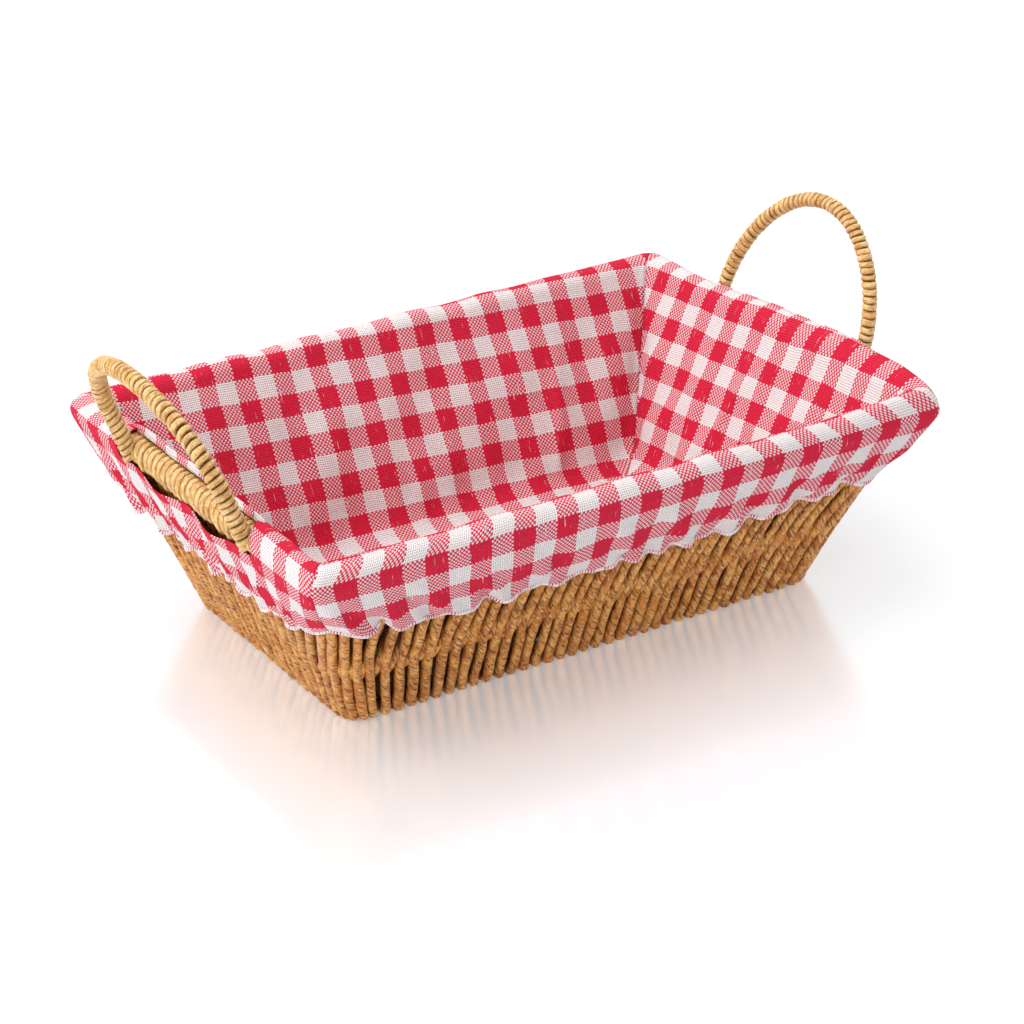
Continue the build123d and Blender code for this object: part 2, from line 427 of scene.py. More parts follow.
# One full turn of the cord: uprights passed, height, and how far out from the rings' plane. It is
# pulled tight where it crosses the lower ring as a stitch, and worked by hand, so no two turns are
# quite alike: cord_shake is how far a knot strays in the same three directions.
cord_turn = np.array([
    (0.00, 2.2, 0.0), (0.05, 3.2, 2.7), (0.02, 6.8, 3.5), (0.04, 14.0, 3.9), (0.08, 24.0, 4.0),
    (0.16, 33.0, 4.5), (0.38, 42.0, 3.8), (0.72, 54.0, 3.3), (1.00, 63.0, 3.6), (1.42, 76.0, 3.2),
    (1.66, 83.5, 2.8), (1.86, 87.0, 1.8), (2.22, 88.2, 0.0), (2.62, 87.0, -1.8), (3.02, 83.0, -2.9),
    (2.92, 76.0, -3.0), (2.78, 69.5, -1.6), (2.55, 63.0, 3.0), (2.35, 56.5, -1.6),
    (2.10, 50.0, -3.0), (1.85, 45.0, -2.7), (1.42, 41.0, -0.7), (1.12, 37.4, 2.2), (0.76, 33.0, 3.2),
    (0.48, 28.8, 2.3), (0.30, 25.2, -0.6), (0.28, 20.5, -2.9), (0.18, 14.0, -3.2),
    (0.12, 7.0, -3.4), (0.50, 3.2, -2.7)])
cord_shake = (0.05, 0.5, 0.14)
cord_sway = 0.07                            # uprights that a turn's top strays to one side
sway_height = 60.0                          # where it has strayed all the way
stitch_height = 33.0                        # of the middle of a stitch
stitch_squeeze = 0.10                       # share of its radius that the cord loses there


def wall_cord_line(turns, draw):
    """The knots of some turns, each turn an upright further on, shaken a little by hand."""
    shake = draw.normal(size=(len(turns), len(cord_turn), 3)) * cord_shake
    lean = draw.normal(size=(len(turns), 1)) * cord_sway
    knots = cord_turn[None] + shake
    knots[..., 0] += turns[:, None] + lean * np.clip(knots[..., 1] / sway_height, 0, 1)
    knots[:, :2, 1] = cord_turn[:2, 1]
    return through(knots.reshape(-1, 3), 4)


def cord_wall(name, first, count, material, draw):
    """Uprights and stitches of one side, as a single cord that winds on round its rings. Its radius
    is cord_radius * (1 + a slow random swell) * (1 - squeeze * exp(-((height - stitch) / 5)^2)).
    A point's depth goes from 0, at 2.6 mm out from the rings' plane, to 1, at 1.6 mm inside it; the
    shader paints shade by it where the cord lies back, behind and between the uprights."""
    knots = wall_cord_line(first + np.arange(count), draw)
    line, side = on_wall(knots[:, 0], knots[:, 1], knots[:, 2])
    swell = 1 + 0.07 * through(draw.normal(size=(len(knots) // 12 + 2, 1)), 12)[:len(knots), 0]
    stitch = np.exp(-((knots[:, 1] - stitch_height) / 5) ** 2)
    radius = cord_radius * swell * (1 - stitch_squeeze * stitch)
    points, faces, corners = closed_tube(line, side, radius, radius, cord_sides, twist=cord_twist,
                                         lobes=0.035)
    points[:, 2] = np.maximum(points[:, 2], 0.0)
    # Depth into the wall, which the shader turns into painted shade in the gaps between uprights.
    depth = np.repeat(np.clip((2.6 - knots[:, 2]) / 4.2, 0, 1), cord_sides)
    recess_shade = np.concatenate([depth, depth[:1], depth[-1:]])
    return make_piece(name, points, faces, corners, material, recess_shade)


wall_cord_finish = twisted_cord("wall_cord", (0.18, 0.030, 0.002), (0.67, 0.23, 0.024),
                                (0.95, 0.53, 0.13), cord_twist, pits=0.8, fleck=0.65)
cord_draw = np.random.default_rng(11)
for place, side_name in enumerate(side_names):
    cord_side = cord_wall(f"wall_cords_{side_name}", side_starts[place], int(side_turns[place]),
                          wall_cord_finish, cord_draw)
    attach(cord_side, "basket")
    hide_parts(f"weave_lower_{side_name}", f"weave_upper_{side_name}")


# ---------------------------------------------------------------- floor cords
# The floor is a thinner cord of the same fibre, laid across the short way and worked over and
# under the four floor wires in turn, close together.

floor_pitch = 4.3
floor_cord_radius = 1.75
floor_cord_sides = 8
floor_cord_twist = 12.0
floor_wave = 2.3                            # how far a cord goes over and under the wires' level
floor_insets = (5.5, 4.5)                   # from the base ring, at the ends and at the sides
floor_wire_low, floor_wire_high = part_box("floor_wires")
floor_wire_radius = 0.00125                 # in metres, as the box is
floor_level = (floor_wire_low.z + floor_wire_high.z) / 2 / MM
floor_wire_y = np.linspace(floor_wire_low.y + floor_wire_radius,
                           floor_wire_high.y - floor_wire_radius, 4) / MM


def floor_cords(material, draw):
    """Parallel cords; each one's height is level + wave * sin(pi * (y - first wire + spacing / 2) /
    spacing), up over one wire and down under the next, and its neighbour's wave has the other
    sign. The wave dies out over the last 6 mm."""
    reach_x = ring_lines[0, 1] - floor_insets[0]
    reach_y = ring_lines[0, 2] - floor_insets[1]
    count = int(2 * reach_x / floor_pitch)
    parts = []
    spacing = floor_wire_y[1] - floor_wire_y[0]
    for i in range(count):
        y = np.linspace(-reach_y, reach_y, 60)
        x = -reach_x + (i + 0.5) * 2 * reach_x / count + 0.25 * np.sin(y / 17 + draw.uniform(0, 6))
        sign = 1 if i % 2 else -1
        wave = sign * floor_wave * np.sin(math.pi * (y - floor_wire_y[0] + spacing / 2) / spacing)
        z = floor_level + wave * np.clip((reach_y - np.abs(y)) / 6, 0, 1)
        line = np.stack([x, y, z], -1)
        side = np.broadcast_to((1.0, 0.0, 0.0), line.shape)
        radius = floor_cord_radius * (1 + 0.03 * draw.normal())
        start = draw.uniform(0, 500)
        parts.append(closed_tube(line, side, radius, radius, floor_cord_sides,
                                 twist=floor_cord_twist, lobes=0.05, start=start))
    points, faces, corners = join_parts(parts)
    points[:, 2] = np.maximum(points[:, 2], 0.15)
    return make_piece("floor_cords", points, faces, corners, material)


floor_weave = floor_cords(wall_cord_finish, np.random.default_rng(12))
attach(floor_weave, "basket")
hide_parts("weave_floor")


# ---------------------------------------------------------------- handle wraps
# Each bail handle is the wire arch wound tightly with a flattened cord, paler than the walls,
# from one foot over the top to the other. The arches lean outward like the end walls.

handle_lean = math.radians(20.5)
rim_height, rim_half_length, rim_half_width = ring_lines[3]
handle_foot_x = 160.4                       # where the legs' lines meet the rim's level
shoulder_turn = math.radians(60.0)
# Each arch: the side it is on, its half width, its straight legs, and its rise above them.
arches = {"left": (-1, 54.4, 22.5, 42.3), "right": (1, 54.2, 5.0, 59.5)}
handle_core = 1.5                           # the wire's radius
handle_half_width = 1.66                    # of the flattened cord
handle_pitch = 3.4                          # from one turn to the next
handle_windings = {"left": (1.36, 0.7), "right": (1.08, 1.5)}    # half thickness and slant of a turn
flat_cord_sides = 8
flat_cord_twist = 14.0                      # of its strands
fibre_twist = 26.0                          # of its fibres, which lie flatter


def arch_line(side, half_width, leg, rise, foot, step=1.0):
    """Centreline of an arch in its leaning plane: straight legs, a shoulder arc over each and one
    crown arc. The two radii follow from the half width and the rise. Returns points and the
    plane's outward direction."""
    a, b = 1 - math.cos(shoulder_turn), math.cos(shoulder_turn)
    c, d = math.sin(shoulder_turn), 1 - math.sin(shoulder_turn)
    shoulder = (half_width * d - b * rise) / (a * d - b * c)
    crown = (half_width - a * shoulder) / b
    runs = [leg - foot, shoulder * shoulder_turn, 2 * crown * (math.pi / 2 - shoulder_turn),
            shoulder * shoulder_turn, leg - foot]
    turns = [0, shoulder_turn, math.pi - 2 * shoulder_turn, shoulder_turn, 0]
    marks = np.concatenate([[0], np.cumsum(runs)])
    s = np.linspace(0, marks[-1], int(marks[-1] / step) + 1)
    heading = np.interp(s, marks, np.concatenate([[0], np.cumsum(turns)]))
    ds = np.diff(s, prepend=s[0])
    mid = (heading + np.concatenate([[heading[0]], heading[:-1]])) / 2
    w = -half_width + np.cumsum(np.sin(mid) * ds)
    up = foot + np.cumsum(np.cos(mid) * ds)
    w -= (w[-1] - half_width) * s / s[-1]
    line = np.stack([side * (handle_foot_x + up * math.sin(handle_lean)), w,
                     rim_height + up * math.cos(handle_lean)], -1)
    outward = np.array([side * math.cos(handle_lean), 0, -math.sin(handle_lean)])
    return line, outward


def wound(line, across, core, half_width, half_thick, pitch, draw, slant, bow, steps=14, sag=0.0,
          loose=0.03):
    """Flat cord wound on a core along a line: a helix of the core's radius whose place along the
    line is shifted by slant * sin and bow * cos of its angle, so that turns lean or bow.
    across is a direction square to the line; loose is how far a turn's radius varies, and sag
    lets some turns stand off on the side that across points to."""
    ahead = unit(np.gradient(line, axis=0))
    run = np.concatenate([[0], np.cumsum(np.linalg.norm(np.diff(line, axis=0), axis=1))])
    turns = run[-1] / pitch
    n = int(turns * steps)
    t = np.arange(n + 1) / steps
    angle = 2 * math.pi * t
    drift = through(draw.normal(size=(int(turns) + 2, 1)) * 0.05, steps)[:n + 1, 0]
    place = (t + drift) * pitch + slant * np.sin(angle) + bow * np.cos(angle)
    place = np.clip(place, 0, run[-1])
    at = np.stack([np.interp(place, run, line[:, c]) for c in range(3)], -1)
    fwd = unit(np.stack([np.interp(place, run, ahead[:, c]) for c in range(3)], -1))
    acr = np.broadcast_to(across, line.shape)
    e1 = np.stack([np.interp(place, run, acr[:, c]) for c in range(3)], -1)
    e1 = unit(e1 - fwd * (e1 * fwd).sum(-1, keepdims=True))
    e2 = np.cross(fwd, e1)
    puff = through(draw.normal(size=(int(turns) + 2, 1)) * loose, steps)[:n + 1, 0]
    hang = through(np.abs(draw.normal(size=(int(turns) + 2, 1))) * sag, steps)[:n + 1, 0]
    centre = core + half_thick
    radial = e1 * np.cos(angle)[:, None] + e2 * np.sin(angle)[:, None]
    reach = centre * (1 + puff) + hang * np.clip(np.cos(angle), 0, 1) ** 2
    path = at + radial * reach[:, None]
    wide = half_width * (1 + 0.07 * through(draw.normal(size=(n // 9 + 2, 1)), 9)[:n + 1, 0])
    return closed_tube(path, np.cross(unit(np.gradient(path, axis=0)), radial), wide, half_thick,
                       flat_cord_sides, twist=flat_cord_twist, lobes=0.06)


# edge=0.65 paints shade into the crevices between the wound turns of the handles and the rim binding.
handle_cord_finish = twisted_cord("binding_cord", (0.36, 0.13, 0.022), (0.80, 0.46, 0.14),
                                  (0.96, 0.70, 0.33), fibre_twist, edge=0.65, fleck=0.55, pits=0.4)
handle_draw = np.random.default_rng(13)
for side_name, arch in arches.items():
    arch_points, arch_out = arch_line(*arch, foot=-3.0)
    half_thick, slant = handle_windings[side_name]
    wrap_mesh = wound(arch_points, arch_out, handle_core, handle_half_width, half_thick, handle_pitch,
                      handle_draw, slant=slant, bow=0.3)
    wrap = make_piece(f"handle_cord_{side_name}", *wrap_mesh, handle_cord_finish)
    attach(wrap, "basket")
    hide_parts(f"handle_wrap_{side_name}")


# ---------------------------------------------------------------- rim binding
# A thicker, rounder cord of the handles' fibre, wound round the rim wire over the tops of the wall
# cords. It shows between the handle legs, where the liner is slit, and its turns there are loose.

binding_core = 2.3                          # radius it is wound on, just clear of the wire
binding_half_width = 2.2                    # of the flattened cord
binding_half_thick = 1.95
binding_pitch = 4.5


def rim_line(k, step=1.5):
    """Centreline of the rim on side k, from the middle of one corner to the middle of the next, and
    its outward directions, a point every step millimetres."""
    radius = bend_radii[3]
    half = (rim_half_length, rim_half_width) if k % 2 == 0 else (rim_half_width, rim_half_length)
    reach = half[0] - radius + radius * math.pi / 4
    along = np.linspace(-reach, reach, int(2 * reach / step))
    s, m, ns, nm = round_corner(along, half, radius)
    x, y = turn_side(np.full(len(s), k), s, m)
    nx, ny = turn_side(np.full(len(s), k), ns, nm)
    z = np.full_like(x, rim_height)
    return np.stack([x, y, z], -1), np.stack([nx, ny, np.zeros_like(nx)], -1)


rim_draw = np.random.default_rng(14)
for place, side_name in enumerate(side_names):
    rim_points, rim_out = rim_line(place)
    low_out = unit(rim_out * (1, 1, 0) + np.array([0, 0, -0.75]))
    ends_sag = 0.7 if place % 2 else 0.0      # only the ends, which show, are wound this loosely
    binding_mesh = wound(rim_points, low_out, binding_core, binding_half_width, binding_half_thick,
                         binding_pitch, rim_draw, slant=1.4, bow=1.1, sag=ends_sag, steps=16,
                         loose=0.015)
    binding = make_piece(f"rim_cord_{side_name}", *binding_mesh, handle_cord_finish)
    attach(binding, "basket")
    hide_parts(f"rim_binding_{side_name}")


# ---------------------------------------------------------------- liner
# Red and white cotton gingham. One cloth makes the floor and both long walls; two end panels,
# each slit for a handle, are sewn to it at the corners. It rolls over the rim and hangs outside
# as a skirt, whose overlocked hem is gathered on elastic.

cloth_thick = 0.5
check = 10.2                     # one coloured square
threads_per_check = 10
roll_radius = 7.5                # of the cloth over the rim binding
hem_height = 59.5
skirt_cloth_out = 6.4            # from the wall's centreline, outside the cords
wall_cloth_out = -7.4            # and inside them
floor_cloth_level = 11.5
foot_bend = 13.0                 # height above the floor at which the wall starts to curve
roll_start = math.radians(-20)   # angles of the roll's arc, from straight out
roll_end = math.radians(160)


def liner_profile():
    """Stations of the liner's section from the hem to the floor. Each one has a reference height on
    the wall, an outward offset in plan, its own height, a corner radius and its arc length. The
    skirt and the wall cloth run along the wall's normal, the roll is an arc round the rim, and
    a quadratic curve turns the wall into the floor."""
    cos, sin = math.cos(wall_lean), math.sin(wall_lean)
    h = np.linspace(hem_height, rim_height, 19)[:-1]
    lift = (h - hem_height) / (rim_height - hem_height)
    out = skirt_cloth_out + (roll_radius - skirt_cloth_out) * lift ** 0.7 + 1.2 * np.sin(math.pi * lift)
    skirt = np.stack([h, out * cos, h - out * sin, 15 - 9 * lift], -1)
    a = np.linspace(roll_start, roll_end, 15)
    roll = np.stack([rim_height + 0 * a, roll_radius * np.cos(a), rim_height + roll_radius * np.sin(a),
                     np.interp(np.cos(a), [-1, 1], [5.0, 6.0])], -1)
    foot_h = floor_cloth_level + foot_bend
    h = np.linspace(rim_height, foot_h, 40)[1:]
    drop = np.clip((rim_height - h) / 25, 0, 1)
    out = -roll_radius + (roll_radius + wall_cloth_out) * drop
    wall = np.stack([h, out * cos, h - out * sin, 5.0 - 2 * drop], -1)
    t = np.linspace(0, 1, 12)[1:]
    top = np.array([foot_h, wall_cloth_out * cos, foot_h - wall_cloth_out * sin])
    m_shift = (np.interp(foot_h, ring_lines[:, 0], ring_lines[:, 1])
               - np.interp(floor_cloth_level, ring_lines[:, 0], ring_lines[:, 1]))
    corner = np.array([foot_h, wall_cloth_out * cos - m_shift - 0.5, floor_cloth_level])
    end = np.array([foot_h, corner[1] - 14.0, floor_cloth_level])
    bend = ((1 - t)[:, None] ** 2 * top + 2 * (t * (1 - t))[:, None] * corner + t[:, None] ** 2 * end)
    curve = np.concatenate([bend, (3 + 3 * t)[:, None]], -1)
    stations = np.concatenate([skirt, roll, wall, curve])
    m = np.interp(stations[:, 0], ring_lines[:, 0], ring_lines[:, 1]) + stations[:, 1]
    length = np.concatenate([[0], np.cumsum(np.hypot(np.diff(m), np.diff(stations[:, 2])))])
    return np.column_stack([stations, length]), len(skirt), len(skirt) + len(roll)


profile, skirt_rows, roll_rows = liner_profile()
roll_top_row = skirt_rows + int(np.argmax(profile[skirt_rows:roll_rows, 2]))
roll_top_length = profile[roll_top_row, 4]


def ripples(u, v, draw, count, wave, stretch=1.0):
    """Sum of sine waves with random directions near u and lengths near wave, over the square root
    of their count, so that it is mostly between -1 and 1."""
    total = np.zeros(np.broadcast(u, v).shape)
    for _ in range(count):
        k = 2 * math.pi / (wave * draw.uniform(0.7, 1.5))
        lean = draw.normal() * 0.35
        total = total + np.sin(k * (u * math.cos(lean) + v * math.sin(lean) / stretch)
                               + draw.uniform(0, 2 * math.pi))
    return total / math.sqrt(count)


def creases(u, v, draw, count=8):
    """Narrow slanting ridges in slack cloth, each height * exp(-(across / width)^2 -
    (along / length)^2), at random places below the rim."""
    total = np.zeros(np.broadcast(u, v).shape)
    for _ in range(count):
        middle_u = draw.uniform(-0.85, 0.85) * u.max()
        middle_v = draw.uniform(40, 105)
        lean = draw.normal() * 0.4
        height = draw.uniform(0.9, 2.1)
        width = draw.uniform(2.5, 5.0)
        length = draw.uniform(18, 36)
        across = u - middle_u - lean * (v - middle_v)
        total = total + height * np.exp(-(across / width) ** 2 - ((v - middle_v) / length) ** 2)
    return total


def grid_normals(points):
    """Unit normals on the cloth's visible side, from the cross product of the grid's directions."""
    return unit(np.cross(np.gradient(points, axis=1), np.gradient(points, axis=0)))


# Where the checks fall on each side: stretch and start along the rim, start down the cloth, and
# how much the rows drift along the rim. The cloth wasn't cut or sewn dead straight.
check_lay = {0: (1.0, 1.8, -0.2, 0.0), 1: (1.025, -1.9, -0.2, -0.06), 2: (1.043, 3.5, -6.9, 0.06),
             3: (1.0, 4.0, 2.0, 0.02)}


def panel_grid(k, marks):
    """Points of side k's cloth: the profile carried round the basket's plan, from corner to corner.
    marks are places along the panel from -1 to 1; the cloth's own coordinates are arc length
    along the rim, which the skirt keeps all the way down, and arc length down the profile."""
    ref, out, z, corner, length = profile.T
    long_half = np.interp(ref, ring_lines[:, 0], ring_lines[:, 1]) + out
    wide_half = np.interp(ref, ring_lines[:, 0], ring_lines[:, 2]) + out
    half = (long_half, wide_half) if k % 2 == 0 else (wide_half, long_half)
    reach = half[0] - corner + corner * math.pi / 4
    along = marks[None] * reach[:, None]
    s, m, _, _ = round_corner(along, (half[0][:, None], half[1][:, None]), corner[:, None])
    x, y = turn_side(np.full(s.shape, k), s, m)
    points = np.stack([x, y, np.broadcast_to(z[:, None], x.shape)], -1)
    skirt_reach = reach[roll_top_row]
    keep = np.clip((length - roll_top_length + 10) / 10, 0, 1)[:, None]
    cloth_u = marks[None] * (skirt_reach + (reach[:, None] - skirt_reach) * keep)
    return points, cloth_u, np.broadcast_to(length[:, None] - roll_top_length, cloth_u.shape)


# How far, in millimetres, the hem rides up along each side, at places from -1 to 1 along it.
hem_rise = {0: ((-1, -0.88, -0.76, -0.64, 0.37, 0.76, 1), (5.0, 4.0, 2.0, 0.0, 0.0, 5.0, 6.0)),
            1: ((-1, 1), (6.0, 5.0)),
            2: ((-1, -0.73, 0.73, 1), (5.0, 0.0, 0.0, -1.0)),
            3: ((-1, -0.78, 0.43, 0.8, 1), (-1.0, -3.0, -3.0, 2.0, 5.0))}
# The same for the cloth's fold over the rim, which stands up off the binding at both ends.
rim_rise = {0: ((0.66, 1), (0.0, 4.0)),
            1: ((-1, -0.78, -0.52, -0.17, 0.17, 0.43, 0.62), (4.0, 6.5, 7.5, 6.0, 3.5, 1.5, 0.0)),
            2: ((0, 1), (0.0, 0.0)),
            3: ((-0.65, -0.5, 0.5, 0.65), (0.0, 2.6, 2.6, 0.0))}
# The row of the cloth that is the slit's inner edge, right and left.
slit_rows = {1: roll_top_row - 2, 3: roll_top_row + 1}
seam_reach = 9.0                 # from a corner seam to where the cloth is slack
gather_start = 14.0              # down the skirt from the roll's top to the first gathers
gather_grow = 32.0               # and on from there to where they are full
gather_wave = 19.0
slack_start = 12.0               # down the wall to where the cloth comes off the cords
slack_grow = 30.0
slack_foot = 20.0                # from the floor up to where it is slack again


def soften(k, points, cloth_u, cloth_v, draw):
    """Moves the cloth along its visible side's normal: gathers that grow towards the hem as
    skirt^1.1 * (ripples + a steady puff), and slack billows and creases on the walls. It dies
    out at the corner seams. The hem is scalloped and rides up by hem_rise, and the fold over
    the rim stands up by rim_rise."""
    normal = grid_normals(points)
    seam = np.clip((np.abs(cloth_u).max(1, keepdims=True) - np.abs(cloth_u)) / seam_reach, 0, 1)
    seam = seam * seam * (3 - 2 * seam)
    skirt = np.clip((-cloth_v - gather_start) / gather_grow, 0, 1)
    gather = ripples(cloth_u + 0.5 * cloth_v, cloth_v, draw, 4, gather_wave)
    gather = gather + ripples(cloth_u, cloth_v, draw, 4, 9.0) * 0.4
    fold = skirt ** 1.1 * (1.35 * gather + 1.8)
    soft = ripples(cloth_u, cloth_v, draw, 4, 45.0, 0.6) * 0.5 * np.clip(1 - np.abs(cloth_v) / 14, 0, 1)
    wall = np.clip((cloth_v - slack_start) / slack_grow, 0, 1)
    wall = wall * np.clip((cloth_v.max() - cloth_v) / slack_foot, 0, 1)
    billow = wall * (1.3 * ripples(cloth_u, cloth_v, draw, 4, 80.0, 0.5)
                     + 0.7 * ripples(cloth_u, cloth_v, draw, 4, 28.0, 0.5) + 1.6)
    billow = billow + wall * creases(cloth_u, cloth_v, draw)
    moved = points + normal * ((fold + soft + np.maximum(billow, -0.6)) * seam)[..., None]
    scallop = ripples(cloth_u, 0 * cloth_v, draw, 3, 14.0) * 0.9 * skirt ** 3 * seam
    share = cloth_u / np.abs(cloth_u).max(1, keepdims=True)
    rise = np.interp(share, *hem_rise[k]) * np.clip((-cloth_v - 8) / 44, 0, 1) ** 1.5
    moved[..., 2] += scallop + rise
    moved += rise[..., None] * math.tan(wall_lean) * normal * (1, 1, 0)
    row = np.arange(len(profile))[:, None]
    edge_row = slit_rows.get(k, roll_top_row - 2)
    past_edge = np.where(row >= edge_row, (row - edge_row) / 12, (edge_row - row) / 6)
    stand = np.clip(1 - past_edge, 0, 1) ** 1.5 * np.interp(share, *rim_rise[k])
    moved[..., 2] += stand
    away = unit(moved * ((1, 0, 0) if k == 3 else (1, 1, 0)))
    moved += stand[..., None] * 0.25 * away
    return moved


def check_place(k, cloth_u, cloth_v):
    """Place in the checked pattern: cloth coordinates, stretched, shifted and skewed as laid."""
    stretch, start_u, start_v, drift = check_lay[k]
    return cloth_u * stretch + start_u, cloth_v + drift * cloth_u + start_v


def sheet_mesh(points, cloth_u, cloth_v, keep=None):
    """Grid of points as quads, with the cloth's own coordinates at each corner. keep says which
    cells are cloth."""
    rows, cols = cloth_u.shape
    i, j = np.indices((rows - 1, cols - 1)).reshape(2, -1)
    if keep is not None:
        chosen = keep[i, j]
        i, j = i[chosen], j[chosen]
    quads = np.stack([i * cols + j, i * cols + j + 1, (i + 1) * cols + j + 1, (i + 1) * cols + j], -1)
    place = np.stack([cloth_u, cloth_v], -1).reshape(-1, 2)
    return points.reshape(-1, 3), quads, place[quads]


def gingham(name):
    """Plain-woven gingham. Thread numbers are the floor of the cloth's coordinates over the thread
    width; equal runs of red and white threads alternate both ways, and the upper thread of each
    crossing is the warp where the two numbers add to an even one. Holes show between threads,
    and white threads beside red ones are tinged with pink."""
    f = Finish(name)
    u, v, _ = f.uv()
    thread = check / threads_per_check
    wobble = f.noise(f.vector(u * 0.03, v * 0.06, 0.0), 1.0, 2.0) - 0.5
    sway = f.noise(f.vector(u * 0.05, v * 0.03, 9.0), 1.0, 2.0) - 0.5
    warp_place = (u + wobble * 2.4) / thread
    weft_place = (v + sway * 2.4) / thread
    warp_number = warp_place.floor()
    weft_number = weft_place.floor()
    warp_red = (warp_number / (2 * threads_per_check)) % 1.0 < 0.5
    weft_red = (weft_number / (2 * threads_per_check)) % 1.0 < 0.5
    warp_up = (warp_number + weft_number) % 2.0 < 0.5
    across_warp = (warp_place - warp_number - 0.5).size()
    across_weft = (weft_place - weft_number - 0.5).size()
    red = warp_up * warp_red + (1 - warp_up) * weft_red
    crown = warp_up * (0.5 - across_warp) + (1 - warp_up) * (0.5 - across_weft)
    arch = warp_up * (0.5 - across_weft) + (1 - warp_up) * (0.5 - across_warp)
    height = crown.step(0.0, 0.4) * 0.6 + arch.step(0.0, 0.5) * 0.4
    hole = across_warp.step(0.26, 0.46) * across_weft.step(0.26, 0.46)
    slub = f.noise(f.vector(u * 1.2, v * 0.11, 3.0), 1.0, 2.0).step(0.66, 0.72)
    fuzz = f.noise(f.vector(u, v, 0.0), 2.3, 3.0, 0.7)
    red_tone = f.mix(fuzz.step(0.3, 0.7), (0.56, 0.008, 0.030), (0.80, 0.022, 0.075))
    white_tone = f.mix(fuzz.step(0.3, 0.7), (0.74, 0.68, 0.67), (0.90, 0.86, 0.85))
    beside_red = (warp_red + weft_red).step(0.0, 1.0)
    white_tone = f.mix(beside_red * 0.5, white_tone, (0.86, 0.42, 0.48))
    tone = f.mix(red, white_tone, red_tone)
    tone = f.mix(slub * (0.3 + arch), tone, (0.93, 0.86, 0.86))
    shade = (1 - height) * 0.35 + hole * 0.55
    dark = f.mix(red, (0.30, 0.19, 0.19), (0.22, 0.002, 0.009))
    f.set(base_color=f.mix(shade, tone, dark), roughness=0.9, specular_ior_level=0.2)
    f.bump(height + fuzz * 0.35 - hole * 0.6, 0.7, 0.0004)
    return f.material


def cloth_piece(name, mesh, material):
    """Cloth piece from a grid's points, quads and corner places. The grid is the cloth's visible
    side, and its thickness goes behind it."""
    piece = make_piece(name, mesh[0], mesh[1].tolist(), mesh[2].reshape(-1, 2), material)
    thicken = piece.modifiers.new("cloth", "SOLIDIFY")
    thicken.thickness = cloth_thick * MM
    thicken.offset = -1.0
    return piece


cloth_finish = gingham("gingham_cotton")
liner_draw = np.random.default_rng(15)
even_marks = np.linspace(-1, 1, 161)      # places along a long side's cloth, and along an end's
end_marks = np.linspace(-1, 1, 113)
hem_points = {}


def long_panel(k):
    """Points and check places of a long side's panel, from its hem to the floor."""
    points, cu, cv = panel_grid(k, even_marks)
    points = soften(k, points, cu, cv, liner_draw)
    return points, *check_place(k, cu, cv)


# Slack folds in the floor: middle x and y, half length, half width, height and angle.
floor_folds = ((-62, -34, 44, 6.5, 3.4, 0.10), (-40, -48, 60, 5.0, 3.0, 0.02),
               (-88, -18, 26, 7.0, 2.2, 0.5), (55, 36, 50, 7.0, 2.0, -0.08),
               (80, -28, 30, 8.0, 1.6, 0.3), (0, 5, 70, 12.0, 1.2, 0.2))


def whole_cloth(front, back):
    """The main cloth as one grid: front panel, floor, back panel the other way round. The floor runs
    between the last rows of the two panels and is stretched to the end panels' last rows, with a
    few low folds, each height * exp(-(a / length)^2 - (b / width)^2), a along it and b across.
    The pattern runs on through all three."""
    near, near_u, near_v = (grid[-1] for grid in front)
    far, far_u, far_v = (grid[-1][::-1] for grid in back)
    t = np.linspace(0, 1, 64)[:, None]
    points = near[None] * (1 - t[..., None]) + far[None] * t[..., None]
    seam = panel_grid(1, end_marks)[0][-1]
    reach = np.interp(points[:, -1, 1], seam[:, 1], seam[:, 0])
    points[..., 0] *= (reach / points[:, -1, 0])[:, None]
    x, y = points[..., 0], points[..., 1]
    for cx, cy, length, width, height, angle in floor_folds:
        a = (x - cx) * math.cos(angle) + (y - cy) * math.sin(angle)
        b = -(x - cx) * math.sin(angle) + (y - cy) * math.cos(angle)
        points[..., 2] += height * np.exp(-(a / length) ** 2 - (b / width) ** 2)
    depth = float(np.ptp(y))
    repeats = np.round((depth + near_v - check + far_v).mean() / (2 * check))
    end_u = check - far_u
    end_v = check - far_v + 2 * check * repeats
    flat_u = near_u * (1 - t) + end_u * t
    flat_v = near_v * (1 - t) + end_v * t
    turned_v = check - back[2][::-1, ::-1] + 2 * check * repeats
    return (np.concatenate([front[0], points[1:-1], back[0][::-1, ::-1]]),
            np.concatenate([front[1], flat_u[1:-1], check - back[1][::-1, ::-1]]),
            np.concatenate([front[2], flat_v[1:-1], turned_v]))


front_points, front_u, front_v = long_panel(0)
back_points, back_u, back_v = long_panel(2)
hem_points[0] = front_points[0]
hem_points[2] = back_points[0]
main_points, main_u, main_v = whole_cloth((front_points, front_u, front_v),
                                          (back_points, back_u, back_v))
main_cloth = cloth_piece("liner_main_cloth", sheet_mesh(main_points, main_u, main_v), cloth_finish)
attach(main_cloth, "liner")
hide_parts("liner_main")

slit_half = 58.5                          # half of the slit's length, past the handle's legs
flap_row = skirt_rows - 1                 # the slit's outer edge, which hangs just below the rim
slit_edge_round = 8.0                     # cloth that goes round the turned edge


